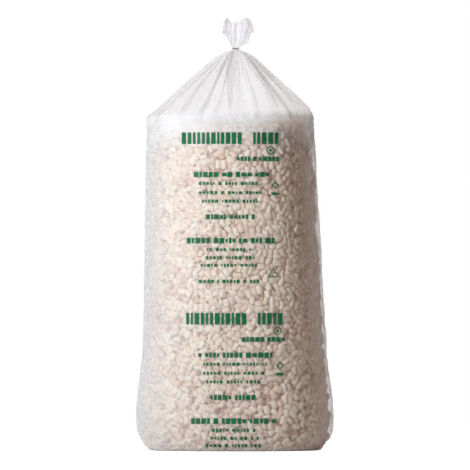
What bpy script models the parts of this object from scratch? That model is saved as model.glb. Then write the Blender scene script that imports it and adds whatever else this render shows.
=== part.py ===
"""Clear film sack of starch packing peanuts, gathered at the top and closed with a twisted wire.

Metres, +Z up. The origin is on the floor under the middle of the sack, and the sack's front faces -Y.
The film is one tube of thin plastic: its lower end is welded across and lies under the fill, its two
lay-flat creases run up the left and right sides, and its upper end is gathered, tied and left open.
"""

import math
import random

import bmesh
import bpy
from mathutils import Vector

# Film
FILM_THICKNESS = 0.00008
SECTION_POWER = 2.5
COLUMNS = 52

# Filled sack: widths are taken over the side creases, heights from the floor
FOOT_WIDTH = 0.700
FOOT_DEPTH = 0.600
HIP_HEIGHT = 0.140
HIP_WIDTH = 0.828
HIP_DEPTH = 0.730
WAIST_HEIGHT = 0.460
WAIST_WIDTH = 0.770
WAIST_DEPTH = 0.752
CROWN_HEIGHT = 1.398
CROWN_WIDTH = 0.704
CROWN_DEPTH = 0.738
CROWN_SHIFT = -0.017

# Side creases, which start as small ears over a notch near the floor, and the bottom weld's ends
CREASE_STANDOFF = 0.024
EAR_HEIGHT = 0.056
NOTCH_HEIGHT = 0.026
WELD_INSET = 0.050

# Gathered cone between the fill and the tie: its swell bows the sides, and its rings crowd to the neck
CONE_HEIGHT = 0.288
CONE_SWELL = 0.80
CONE_CROWDING = 1.5
PLEAT_DEPTH = 0.015
NECK_DIAMETER = 0.029
NECK_FOLD = 0.0055
NECK_LENGTH = 0.010
NECK_SHIFT = 0.005

# Ruffled top above the tie, whose width follows a sine and so closes in a little past its quarter turn
TOP_HEIGHT = 0.129
TOP_WIDTH = 0.134
TOP_DEPTH = 0.096
TOP_SHIFT = 0.009
TOP_FLARE = math.radians(120)
RUFFLE_DEPTH = 0.008
RIM_DIP = 0.016

# Heap of peanuts
SEAT_GAP = 0.0003
WALL_GAP = 0.0005
FILL_DROP = 0.026
HEAP_RISE = 0.012
LUMP_COLUMNS = 48
LUMP_ROWS = 24
LUMP_DEPTH = 0.020

# Wire tie
WIRE_DIAMETER = 0.0014
WIRE_GAP = 0.0003
WIRE_TURNS = 2
TWIST_BEARING = math.radians(-78)
TWIST_DROOP = 0.45
TWIST_LENGTH = 0.015
TWIST_PITCH = 0.0065
TWIST_OPENING = math.radians(14)

# Each ring of lumps on top of the heap, as a share of the ring round it
TOP_RING_SHARES = (0.80, 0.66, 0.50)

# How finely the film is divided, from the weld up to the open mouth
BASE_ROWS = 2
FOOT_ROWS = 5
WALL_ROWS = 6
CONE_ROWS = 6
TOP_ROWS = 4

# Steps of the wire's centreline in one turn of the loop, and in one turn of the twist
LOOP_STEPS = 20
TWIST_STEPS = 8

NECK_HEIGHT = CROWN_HEIGHT + CONE_HEIGHT
QUARTER_TURN = math.pi / 2


def empty_scene():
    for thing in list(bpy.data.objects):
        bpy.data.objects.remove(thing)


def make_material(name, colour, roughness, metallic=0.0, alpha=1.0):
    material = bpy.data.materials.new(name)
    material.use_nodes = True
    shader = material.node_tree.nodes["Principled BSDF"]
    shader.inputs["Base Color"].default_value = (*colour, 1.0)
    shader.inputs["Roughness"].default_value = roughness
    shader.inputs["Metallic"].default_value = metallic
    shader.inputs["Alpha"].default_value = alpha
    return material


def blend(a, b, share):
    return a + (b - a) * share


def ease(share):
    return share * share * (3 - 2 * share)


def half_size(height):
    """Half width and half depth of the filled sack at this height, the width without its creases."""
    foot, hip, waist, crown = (
        Vector((width / 2, depth / 2))
        for width, depth in (
            (FOOT_WIDTH, FOOT_DEPTH),
            (HIP_WIDTH - 2 * CREASE_STANDOFF, HIP_DEPTH),
            (WAIST_WIDTH - 2 * CREASE_STANDOFF, WAIST_DEPTH),
            (CROWN_WIDTH - 2 * CREASE_STANDOFF, CROWN_DEPTH),
        )
    )
    if height < HIP_HEIGHT:
        below = 1 - height / HIP_HEIGHT
        return foot.lerp(hip, math.sqrt(1 - below * below))
    if height < WAIST_HEIGHT:
        return hip.lerp(waist, ease((height - HIP_HEIGHT) / (WAIST_HEIGHT - HIP_HEIGHT)))
    return waist.lerp(crown, (height - WAIST_HEIGHT) / (CROWN_HEIGHT - WAIST_HEIGHT))


def shift(height):
    """How far the sack leans to one side at this height."""
    return CROWN_SHIFT * max(0.0, height - WAIST_HEIGHT) / (CROWN_HEIGHT - WAIST_HEIGHT)


def standoff(height):
    """How far the side crease stands off the fill: nothing up to the notch, and all of it from the ear up."""
    share = (height - NOTCH_HEIGHT) / (EAR_HEIGHT - NOTCH_HEIGHT)
    return CREASE_STANDOFF * min(1.0, max(0.0, share))


def column_angle(column):
    return math.tau * column / COLUMNS


def wall_point(column, height, creased=True):
    """A point of the film on the filled sack. Column 0 is the right crease, and the front is at 3/4 turn."""
    across, along = math.cos(column_angle(column)), math.sin(column_angle(column))
    half_width, half_depth = half_size(height)
    x = math.copysign(half_width * abs(across) ** (2 / SECTION_POWER), across)
    y = math.copysign(half_depth * abs(along) ** (2 / SECTION_POWER), along)
    if creased:
        reach = math.sqrt(2 * CREASE_STANDOFF / half_width)
        from_crease = math.acos(min(1.0, abs(across)))
        x += math.copysign(standoff(height) * max(0.0, 1 - from_crease / reach) ** 2, across)
    return Vector((x + shift(height), y, height))


def foot_heights():
    """Row heights round the foot's quarter arc, floor to hip."""
    return [HIP_HEIGHT * (1 - math.cos(QUARTER_TURN * row / FOOT_ROWS)) for row in range(FOOT_ROWS)]


def wall_heights():
    """Row heights from the hip to the crown."""
    return [blend(HIP_HEIGHT, CROWN_HEIGHT, row / WALL_ROWS) for row in range(WALL_ROWS + 1)]


def base_rings():
    """The flat bottom, from the straight weld out to the foot."""
    rings = []
    for row in range(BASE_ROWS):
        share = row / BASE_ROWS
        ring = []
        for column in range(COLUMNS):
            edge = wall_point(column, 0)
            weld_x = edge.x * (1 - 2 * WELD_INSET / FOOT_WIDTH)
            ring.append(Vector((blend(weld_x, edge.x, share), edge.y * share, 0)))
        rings.append(ring)
    return rings


def neck_point(column):
    """The tightly folded film under the tie: ridges on even columns, valleys on odd ones."""
    radius = NECK_DIAMETER / 2 - (NECK_FOLD if column % 2 else 0)
    angle = column_angle(column)
    return Vector((NECK_SHIFT + radius * math.cos(angle), radius * math.sin(angle), 0))


def cone_rings(chance):
    """The film from above the crown to the foot of the neck, with a pleat on each pair of columns."""
    depths = [PLEAT_DEPTH * chance.uniform(0.55, 1.35) for _ in range(COLUMNS)]
    rings = []
    for row in range(1, CONE_ROWS + 1):
        left = (1 - row / CONE_ROWS) ** CONE_CROWDING
        height = CROWN_HEIGHT + (CONE_HEIGHT - NECK_LENGTH / 2) * (1 - left)
        ring = []
        for column in range(COLUMNS):
            outer, neck = wall_point(column, CROWN_HEIGHT), neck_point(column)
            point = neck.lerp(outer, left**CONE_SWELL)
            side = Vector((math.cos(column_angle(column)), math.sin(column_angle(column)), 0))
            fold = depths[column] * math.sin(math.pi * left**CONE_SWELL)
            point += side * (-fold if column % 2 else fold)
            ring.append(Vector((point.x, point.y, height)))
        rings.append(ring)
    return rings


def top_rings(chance):
    """The loose film above the tie, opening into a ruffled mouth of uneven height."""
    dips = [RIM_DIP * chance.random() for _ in range(COLUMNS)]
    rings = []
    for row in range(TOP_ROWS + 1):
        share = row / TOP_ROWS
        opening = math.sin(TOP_FLARE * share)
        ring = []
        for column in range(COLUMNS):
            angle, neck = column_angle(column), neck_point(column)
            fold = (-RUFFLE_DEPTH if column % 2 else RUFFLE_DEPTH) * share
            rim = Vector(
                (
                    TOP_SHIFT + (TOP_WIDTH / 2 - RUFFLE_DEPTH + fold) * math.cos(angle),
                    (TOP_DEPTH / 2 - RUFFLE_DEPTH + fold) * math.sin(angle),
                    0,
                )
            )
            point = neck.lerp(rim, opening)
            point.z = NECK_HEIGHT + NECK_LENGTH / 2 + (TOP_HEIGHT - dips[column]) * share
            ring.append(point)
        rings.append(ring)
    rings[-1][0].z = NECK_HEIGHT + NECK_LENGTH / 2 + TOP_HEIGHT
    return rings


def loft(mesh, rings):
    """Quads between closed rings that all have the same number of points."""
    rows = [[mesh.verts.new(point) for point in ring] for ring in rings]
    for lower, upper in zip(rows, rows[1:]):
        for column in range(len(lower)):
            after = (column + 1) % len(lower)
            mesh.faces.new((lower[column], lower[after], upper[after], upper[column]))
    return rows


def add_object(name, mesh, collection, material, sharp_angle):
    data = bpy.data.meshes.new(name)
    mesh.to_mesh(data)
    mesh.free()
    data.materials.append(material)
    data.shade_smooth()
    data.set_sharp_from_angle(angle=math.radians(sharp_angle))
    thing = bpy.data.objects.new(name, data)
    collection.objects.link(thing)
    return thing


def make_film_sack(collection):
    """One welded tube of clear film, from its bottom weld to its open mouth."""
    chance = random.Random(7)
    body = [
        [wall_point(column, height) for column in range(COLUMNS)]
        for height in foot_heights() + wall_heights()
    ]
    mesh = bmesh.new()
    loft(mesh, base_rings() + body + cone_rings(chance) + top_rings(chance))
    bmesh.ops.remove_doubles(mesh, verts=mesh.verts, dist=1e-6)
    bmesh.ops.recalc_face_normals(mesh, faces=mesh.faces)
    film = make_material("clear_film", (0.90, 0.90, 0.93), 0.22, alpha=0.35)
    sack = add_object("film_sack", mesh, collection, film, 40)
    wall = sack.modifiers.new("film wall", "SOLIDIFY")
    wall.thickness = FILM_THICKNESS
    wall.offset = -1
    wall.use_even_offset = False


def facet_point(column, row, heights):
    """A point on the film's flat facets, between its rings, without the creases."""
    low_row, low_column = min(int(row), len(heights) - 2), math.floor(column)
    corners = [
        [wall_point(low_column + step, heights[low_row + rise], creased=False) for step in (0, 1)]
        for rise in (0, 1)
    ]
    lower, upper = (pair[0].lerp(pair[1], column - low_column) for pair in corners)
    return lower.lerp(upper, row - low_row)


def inside_film(column, row, heights, depth):
    """A point this far inside the film's facets, measured square to the foot's arc and to the wall."""
    point = facet_point(column, row, heights)
    turn = QUARTER_TURN * min(1.0, row / FOOT_ROWS)
    centre = Vector((shift(point.z), 0, 0))
    outward = Vector((point.x - centre.x, point.y, 0)).normalized()
    return point - outward * depth * math.sin(turn) + Vector((0, 0, depth * math.cos(turn)))


def seat_point(column, heights):
    """A point on the edge of the heap's flat underside, just above the film on the floor."""
    edge = facet_point(column, 0, heights)
    edge -= edge.normalized() * LUMP_DEPTH
    edge.z = FILM_THICKNESS + SEAT_GAP
    return edge


def lump_places(chance, heights):
    """Film columns and rows of the grooves' crossings, staggered and unevenly spaced, one list to a ring."""
    wall_row = (CROWN_HEIGHT - HIP_HEIGHT) / WALL_ROWS
    edge_row = len(heights) - 1 - FILL_DROP / wall_row
    rows = list(range(FOOT_ROWS))
    rows += [blend(FOOT_ROWS, edge_row, step / LUMP_ROWS) for step in range(LUMP_ROWS + 1)]
    places = []
    for index, row in enumerate(rows):
        loose = 0.3 * WALL_ROWS / LUMP_ROWS if FOOT_ROWS < row < edge_row else 0
        ring = []
        for column in range(LUMP_COLUMNS):
            across = column + index % 2 / 2 + chance.uniform(-0.3, 0.3)
            ring.append((across * COLUMNS / LUMP_COLUMNS, row + chance.uniform(-loose, loose)))
        places.append(ring)
    return places


def make_peanut_heap(collection):
    """The packed peanuts as one heap, its skin of lumps pressed against the film."""
    chance = random.Random(11)
    heights = foot_heights() + wall_heights()
    places = lump_places(chance, heights)
    skin = WALL_GAP + FILM_THICKNESS
    mesh = bmesh.new()
    rings = [[seat_point(column, heights) for column, row in places[0]]]
    for ring in places[1:]:
        depths = [skin + LUMP_DEPTH * chance.uniform(0.5, 1.0) for _ in ring]
        rings.append([inside_film(*place, heights, depth) for place, depth in zip(ring, depths)])
    edges = loft(mesh, rings)

    peaks = bmesh.ops.poke(mesh, faces=mesh.faces)["verts"]
    for ring in places:
        first_column, first_row = ring[0]
        ring.append((first_column + COLUMNS, first_row))
    cells = [
        (lower[index], lower[index + 1], upper[index], upper[index + 1])
        for lower, upper in zip(places, places[1:])
        for index in range(LUMP_COLUMNS)
    ]
    for peak, corners in zip(peaks, cells):
        column, row = (sum(numbers) / len(corners) for numbers in zip(*corners))
        peak.co = inside_film(column, row, heights, skin)

    bmesh.ops.contextual_create(mesh, geom=edges[0])
    close_heap_top(mesh, edges[-1], chance)
    bmesh.ops.recalc_face_normals(mesh, faces=mesh.faces)
    starch = make_material("starch_foam", (0.80, 0.71, 0.60), 0.9)
    add_object("peanut_heap", mesh, collection, starch, 20)


def close_heap_top(mesh, edge, chance):
    """The heap's uneven top: rings of lumps, each ring with half the points of the one round it."""
    middle = sum((vert.co for vert in edge), Vector()) / len(edge)
    faces = []
    outer = edge
    for ring, share in enumerate(TOP_RING_SHARES, 1):
        inner = []
        for vert in outer[::2]:
            point = middle.lerp(vert.co, share)
            rise = HEAP_RISE * ring / len(TOP_RING_SHARES)
            point.z = middle.z + rise - LUMP_DEPTH * chance.random()
            inner.append(mesh.verts.new(point))
        for index, vert in enumerate(inner):
            first, second, third = (outer[(2 * index + step) % len(outer)] for step in range(3))
            faces.append(mesh.faces.new((first, second, vert)))
            faces.append(mesh.faces.new((second, third, inner[(index + 1) % len(inner)], vert)))
        outer = inner
    faces.append(mesh.faces.new(outer))
    mesh.normal_update()
    bmesh.ops.poke(mesh, faces=faces, offset=LUMP_DEPTH)


def wire_route():
    """The wire's centreline: in along the twist, round the neck, and out along the twist."""
    loop_radius = (NECK_DIAMETER / 2 + WIRE_GAP + WIRE_DIAMETER / 2) / math.cos(math.pi / LOOP_STEPS)
    turn_pitch = WIRE_DIAMETER + WIRE_GAP
    middle = Vector((NECK_SHIFT, 0, NECK_HEIGHT))
    level = Vector((math.cos(TWIST_BEARING), math.sin(TWIST_BEARING), 0))
    outward = (level - Vector((0, 0, TWIST_DROOP))).normalized()
    side = Vector((-level.y, level.x, 0))
    up = outward.cross(side)
    root = middle + level * (loop_radius + 1.5 * WIRE_DIAMETER)
    strand_radius = (WIRE_DIAMETER + WIRE_GAP) / 2

    steps = round(TWIST_STEPS * TWIST_LENGTH / TWIST_PITCH)
    strands = ([], [])
    for step in range(steps + 1):
        along = TWIST_LENGTH * step / steps
        angle = math.tau * along / TWIST_PITCH
        reach = side * math.cos(angle) + up * math.sin(angle)
        for strand, sign in zip(strands, (1, -1)):
            strand.append(root + outward * along + reach * strand_radius * sign)

    sweep = math.tau * WIRE_TURNS - 2 * TWIST_OPENING
    loop_steps = LOOP_STEPS * WIRE_TURNS
    loop = []
    for step in range(loop_steps + 1):
        angle = TWIST_BEARING + TWIST_OPENING + sweep * step / loop_steps
        rise = turn_pitch * WIRE_TURNS * (step / loop_steps - 0.5)
        loop.append(middle + Vector((loop_radius * math.cos(angle), loop_radius * math.sin(angle), rise)))
    return strands[0][::-1] + loop + strands[1]


def make_wire_tie(collection):
    """A soft steel wire, wound round the neck and its two ends twisted together."""
    route = wire_route()
    curve = bpy.data.curves.new("wire_tie", "CURVE")
    curve.dimensions = "3D"
    curve.bevel_depth = WIRE_DIAMETER / 2
    curve.bevel_resolution = 1
    curve.use_fill_caps = True
    spline = curve.splines.new("POLY")
    spline.points.add(len(route) - 1)
    for control, point in zip(spline.points, route):
        control.co = (*point, 1)
    curve.materials.append(make_material("dark_wire", (0.06, 0.06, 0.065), 0.45, metallic=0.8))
    collection.objects.link(bpy.data.objects.new("wire_tie", curve))


def main():
    empty_scene()
    collection = bpy.data.collections.new("packing_peanut_bag")
    bpy.context.scene.collection.children.link(collection)
    make_film_sack(collection)
    make_peanut_heap(collection)
    make_wire_tie(collection)


main()
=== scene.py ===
"""A tall clear film sack of starch packing peanuts, standing on a pale studio floor."""

import math

import bpy
import numpy as np
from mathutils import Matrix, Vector


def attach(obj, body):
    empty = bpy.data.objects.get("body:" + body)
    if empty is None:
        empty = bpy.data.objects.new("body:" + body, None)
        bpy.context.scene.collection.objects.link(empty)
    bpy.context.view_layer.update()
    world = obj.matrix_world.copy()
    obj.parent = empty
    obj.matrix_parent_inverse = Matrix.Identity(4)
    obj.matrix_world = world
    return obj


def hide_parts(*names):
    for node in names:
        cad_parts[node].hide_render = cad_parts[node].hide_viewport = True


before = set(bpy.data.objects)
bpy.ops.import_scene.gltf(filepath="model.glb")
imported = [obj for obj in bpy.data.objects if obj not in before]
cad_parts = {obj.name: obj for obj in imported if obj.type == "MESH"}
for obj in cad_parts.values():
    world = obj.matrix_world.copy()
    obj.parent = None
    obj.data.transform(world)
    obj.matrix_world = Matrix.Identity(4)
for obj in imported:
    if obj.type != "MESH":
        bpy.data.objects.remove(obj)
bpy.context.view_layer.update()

# Loose-fill peanuts: short extruded tubes of starch foam, tipped into the sack, where they settle against its
# film. Each piece is a pair of balls at a fixed distance. The pairs are pushed apart, held inside the sack's
# outline and drawn down, which packs them as real loose fill packs: mostly flat to the film.

PIECE_R = 0.0122
PIECE_L = 0.0325
HALF = PIECE_L / 2 - PIECE_R + 0.001
SHELL = 0.040
HEAP_Z = 1.364
FOOT_Z = 0.14
WAIST_Z = 0.46
CROWN_Z = 1.398
SQUARENESS = 2.5
CREASE = 0.024
CREASE_ANGLE = math.sqrt(2 * CREASE / 0.36)


def ease(x):
    x = np.clip(x, 0, 1)
    return x * x * (3 - 2 * x)


def outline(z):
    """Half width without creases, half depth and sideways lean of the filled sack at height z."""
    z = np.asarray(z, float)
    foot = np.sqrt(np.clip(1 - (1 - np.clip(z / FOOT_Z, 0, 1)) ** 2, 0, 1))
    waist = ease((z - FOOT_Z) / 0.32)
    crown = np.clip((z - WAIST_Z) / (CROWN_Z - WAIST_Z), 0, 1)
    wide = 0.350 + 0.040 * foot - 0.029 * waist - 0.033 * crown
    deep = 0.300 + 0.065 * foot + 0.011 * waist - 0.007 * crown
    return wide, deep, -0.017 * crown


side_angle = np.linspace(0, 2 * math.pi, 1441)


def base_curve(wide, deep, power, right=0.0, left=0.0):
    """A closed ring from the right crease on: its points and their share of its length, and the length."""
    c, s = np.cos(side_angle), np.sin(side_angle)
    x = wide * np.sign(c) * np.abs(c) ** (2 / power)
    y = deep * np.sign(s) * np.abs(s) ** (2 / power)
    near = np.clip(1 - np.arccos(np.abs(c)) / CREASE_ANGLE, 0, 1) ** 2
    x = x + np.sign(c) * near * np.where(c > 0, right, left)
    length = np.concatenate([[0], np.cumsum(np.hypot(np.diff(x), np.diff(y)))])
    return x, y, length / length[-1], length[-1]


def ring_points(curve, share, offset):
    """Points at these shares of the ring's length, moved outwards by offset."""
    x, y, along, _ = curve
    at = np.mod(share, 1)
    ahead, behind = np.mod(at + 0.004, 1), np.mod(at - 0.004, 1)
    tx = np.interp(ahead, along, x) - np.interp(behind, along, x)
    ty = np.interp(ahead, along, y) - np.interp(behind, along, y)
    size = np.hypot(tx, ty) + 1e-9
    return np.interp(at, along, x) + ty / size * offset, np.interp(at, along, y) - tx / size * offset


def crease_share(x, y, wide, deep):
    """From 1 on a side crease to 0 where the film leaves the fill's curve, for points at x, y."""
    angle = np.arctan2(np.abs(y / deep) ** (SQUARENESS / 2), np.abs(x / wide) ** (SQUARENESS / 2))
    return np.clip(1 - angle / CREASE_ANGLE, 0, 1) ** 2


def heap_top(x, y):
    """Height of the heap's uneven top surface, a little higher at the sack's two sides."""
    swells = np.sin(9 * x + 1.3) * np.cos(8 * y - 0.6) + 0.6 * np.sin(17 * y + 11 * x)
    lumps = 0.005 * np.sin(38 * x + 2) * np.sin(31 * y + 1)
    sides = 0.024 * (x / 0.35) ** 2
    dome = 0.010 * np.clip(1 - (x * x + y * y) / 0.09, 0, 1)
    return HEAP_Z + 0.004 * swells + lumps + sides + dome


def wall_depth(points):
    """Distance inside the film's wall, and the horizontal outward direction, of each point."""
    wide, deep, lean = outline(points[:, 2])
    x, y = points[:, 0] - lean, points[:, 1]
    ax, ay = np.abs(x) / wide, np.abs(y) / deep
    level = (ax**SQUARENESS + ay**SQUARENESS) ** (1 / SQUARENESS) + 1e-9
    gx = np.sign(x) * ax ** (SQUARENESS - 1) / wide * level ** (1 - SQUARENESS)
    gy = np.sign(y) * ay ** (SQUARENESS - 1) / deep * level ** (1 - SQUARENESS)
    steep = np.sqrt(gx * gx + gy * gy) + 1e-9
    return (1 - level) / steep, np.stack([gx / steep, gy / steep], axis=-1)


def near_pairs(points, reach):
    """Index pairs of points that lie within reach of each other, found through a grid of cells."""
    cells = np.floor(points / reach).astype(np.int64)
    cells -= cells.min(axis=0) - 1
    span = cells.max(axis=0) + 2
    keys = (cells[:, 0] * span[1] + cells[:, 1]) * span[2] + cells[:, 2]
    order = np.argsort(keys, kind="stable")
    keys_sorted = keys[order]
    found = []
    for dx in (-1, 0, 1):
        for dy in (-1, 0, 1):
            for dz in (-1, 0, 1):
                step = (dx * span[1] + dy) * span[2] + dz
                if step < 0:
                    continue
                start = np.searchsorted(keys_sorted, keys + step, "left")
                count = np.searchsorted(keys_sorted, keys + step, "right") - start
                first = np.repeat(np.arange(len(points)), count)
                offset = np.arange(count.sum()) - np.repeat(np.cumsum(count) - count, count)
                second = order[np.repeat(start, count) + offset]
                if step == 0:
                    keep = first < second
                    first, second = first[keep], second[keep]
                close = ((points[first] - points[second]) ** 2).sum(axis=1) < reach * reach
                found.append(np.stack([first[close], second[close]]))
    return np.concatenate(found, axis=1)


def scatter_pieces(chance):
    """Starting places and axes of the pieces, spread through the shell under the film and the heap's top."""
    wall_count, top_count, base_count = 7300, 800, 550
    z = chance.uniform(0.012, HEAP_Z + 0.004, wall_count)
    wide, deep, lean = outline(z)
    depth = 0.016 + chance.random(wall_count) * (SHELL - 0.008)
    x, y = ring_points(base_curve(1, 1, SQUARENESS), chance.random(wall_count), 0)
    wall = np.stack([x * (wide - depth) + lean, y * (deep - depth), z], axis=-1)

    def disc(count, radius):
        r, a = radius * np.sqrt(chance.random(count)), chance.uniform(0, 2 * math.pi, count)
        return r * np.cos(a), r * np.sin(a)

    x, y = disc(top_count, 0.31)
    top = np.stack([x - 0.017, y * 1.1, heap_top(x, y) - 0.012 - chance.random(top_count) * SHELL], axis=-1)
    x, y = disc(base_count, 0.31)
    base = np.stack([x, y * 0.9, 0.013 + chance.random(base_count) * 0.03], axis=-1)
    middle = np.concatenate([wall, top, base])

    # Two of three lie flat to the film, and the rest point anywhere, some of them straight at it.
    _, outward = wall_depth(middle)
    outward = np.concatenate([outward, np.zeros((len(middle), 1))], axis=1)
    outward[wall_count:] = (0, 0, 1)
    along = chance.normal(size=middle.shape)
    flat = chance.random(len(middle)) < 0.66
    along[flat] -= 0.85 * (along[flat] * outward[flat]).sum(axis=1, keepdims=True) * outward[flat]
    along /= np.linalg.norm(along, axis=1, keepdims=True)
    return middle, along


def settle(middle, along, rounds):
    """Pushes overlapping pieces apart and holds them in the shell, and returns their two ends' centres."""
    count = len(middle)
    skin = np.tile(PIECE_R + 0.0042 + 0.0075 * chance.random(count) ** 2, 2)
    balls = np.concatenate([middle - along * HALF, middle + along * HALF])
    for step in range(rounds):
        if step % 6 == 0:
            pairs = near_pairs(balls, 2.5 * PIECE_R)
            pairs = pairs[:, np.abs(pairs[0] - pairs[1]) != count]
        first, second = pairs
        gap = balls[first] - balls[second]
        far = np.linalg.norm(gap, axis=1) + 1e-9
        push = np.clip(2 * PIECE_R - far, 0, None) / far * 0.24
        move = np.zeros_like(balls)
        for axis in range(3):
            shift = gap[:, axis] * push
            move[:, axis] = np.bincount(first, shift, len(balls)) - np.bincount(second, shift, len(balls))
        balls += np.clip(move, -0.006, 0.006)
        balls[:, 2] -= 0.00025

        rod = balls[count:] - balls[:count]
        length = np.linalg.norm(rod, axis=1, keepdims=True) + 1e-9
        change = rod * (1 - 2 * HALF / length) / 2
        balls[:count] += change
        balls[count:] -= change

        depth, outward = wall_depth(balls)
        top_depth = heap_top(balls[:, 0], balls[:, 1]) - balls[:, 2]
        base_depth = balls[:, 2]
        nearest = np.minimum(np.minimum(depth, top_depth + 0.003), base_depth)
        too_deep = nearest > SHELL - 0.004
        to_wall = too_deep & (depth <= top_depth) & (depth <= base_depth)
        to_top = too_deep & ~to_wall & (top_depth < base_depth)
        to_base = too_deep & ~to_wall & ~to_top
        balls[to_wall, :2] += outward[to_wall] * (depth[to_wall] - SHELL + 0.004)[:, None] * 0.5
        balls[to_top, 2] += (top_depth[to_top] - SHELL + 0.004) * 0.5
        balls[to_base, 2] -= (base_depth[to_base] - SHELL + 0.004) * 0.5
        out = depth < skin
        balls[out, :2] -= outward[out] * (skin[out] - depth[out])[:, None]
        high = top_depth < PIECE_R
        balls[high, 2] -= (PIECE_R - top_depth[high]) * 0.5
        balls[:, 2] = np.maximum(balls[:, 2], PIECE_R + 0.0012)
    return balls[:count], balls[count:]


def new_object(name, points, faces, smooth=True):
    mesh = bpy.data.meshes.new(name)
    mesh.from_pydata(np.asarray(points, float).tolist(), [], [[int(i) for i in face] for face in faces])
    mesh.polygons.foreach_set("use_smooth", [smooth] * len(mesh.polygons))
    mesh.update()
    thing = bpy.data.objects.new(name, mesh)
    bpy.context.scene.collection.objects.link(thing)
    return thing


def tube_piece(name, cross, profile, bend=0.0, hollow=0.0):
    """One foam piece round +Z: its cross-section, that section's size along it, a bend and hollow ends."""
    points, rows = [], []
    for z, size in profile:
        rows.append(len(points))
        for x, y in cross:
            points.append((x * size + bend * (z * z * 4 - 0.5), y * size, z))
    count = len(cross)
    faces = []
    for low, high in zip(rows, rows[1:]):
        for i in range(count):
            faces.append((low + i, low + (i + 1) % count, high + (i + 1) % count, high + i))
    for start, sign in ((rows[0], -1), (rows[-1], 1)):
        z_end = profile[0][0] if sign < 0 else profile[-1][0]
        tip = len(points)
        points.append((bend * 0.5, 0, z_end + sign * (0.01 - hollow)))
        for i in range(count):
            pair = (start + i, start + (i + 1) % count)
            faces.append((*(pair if sign > 0 else pair[::-1]), tip))
    return new_object(name, points, faces)


def ring_of(count, lobes=0.0, squash=1.0, square=2.0):
    """A cross-section of this size: round or squarish, pinched into two lobes and squashed."""
    ring = []
    for i in range(count):
        c, s = math.cos(2 * math.pi * (i + 0.5) / count), math.sin(2 * math.pi * (i + 0.5) / count)
        size = 0.5 * (1 + lobes * (c * c - s * s)) / (abs(c) ** square + abs(s) ** square) ** (1 / square)
        ring.append((c * size, s * size * squash))
    return ring


chance = np.random.default_rng(5)
start, axes = scatter_pieces(chance)
ends_a, ends_b = settle(start, axes, 150)
into_crease = chance.uniform(0.004, 0.021, len(start))
for ends in (ends_a, ends_b):
    wide, deep, lean = outline(ends[:, 2])
    aside = ends[:, 0] - lean
    ends[:, 0] += np.sign(aside) * into_crease * crease_share(aside, ends[:, 1], wide, deep) ** 0.5
places = (ends_a + ends_b) / 2
axes = ends_b - ends_a
axes /= np.linalg.norm(axes, axis=1, keepdims=True)
wall_in, _ = wall_depth(places)
top_in = heap_top(places[:, 0], places[:, 1]) - places[:, 2]
depth_in = np.minimum(np.minimum(wall_in, top_in), places[:, 2])

shapes = bpy.data.collections.new("foam shapes")
long_profile = [(-0.50, 0.90), (-0.45, 0.99), (0.45, 1.0), (0.50, 0.88)]
short_profile = [(-0.47, 0.92), (-0.41, 1.02), (0.41, 0.98), (0.47, 0.88)]
forms = [
    tube_piece("foam_0", ring_of(12, square=3.4), long_profile),
    tube_piece("foam_1", ring_of(12, lobes=0.12, squash=1.05, square=2.6), short_profile),
    tube_piece("foam_2", ring_of(12, squash=0.85, square=3.0), long_profile, bend=0.06),
    tube_piece("foam_3", ring_of(12, square=2.6), short_profile, hollow=0.12),
    tube_piece("foam_4", ring_of(7), [(-0.46, 0.85), (-0.30, 1.0), (0.34, 0.98), (0.46, 0.85)]),
]
for form in forms:
    bpy.context.scene.collection.objects.unlink(form)
    shapes.objects.link(form)


def node_adder(tree):
    """A function that adds a node to this tree, its inputs given as values or as other nodes' sockets."""

    def node(kind, inputs=None, **settings):
        new = tree.nodes.new(kind)
        for key, value in settings.items():
            setattr(new, key, value)
        for key, value in (inputs or {}).items():
            if isinstance(value, bpy.types.NodeSocket):
                tree.links.new(value, new.inputs[key])
            else:
                new.inputs[key].default_value = value
        return new

    return node


def reckon(node, operation, *values):
    """The result of a Math node on these values."""
    return node("ShaderNodeMath", dict(enumerate(values)), operation=operation).outputs[0]


def graded(node, value, start, end, low, high, **settings):
    """A value that goes from low to high while the given one goes from start to end."""
    given = {"Value": value, "From Min": start, "From Max": end, "To Min": low, "To Max": high}
    return node("ShaderNodeMapRange", given, **settings).outputs["Result"]


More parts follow.
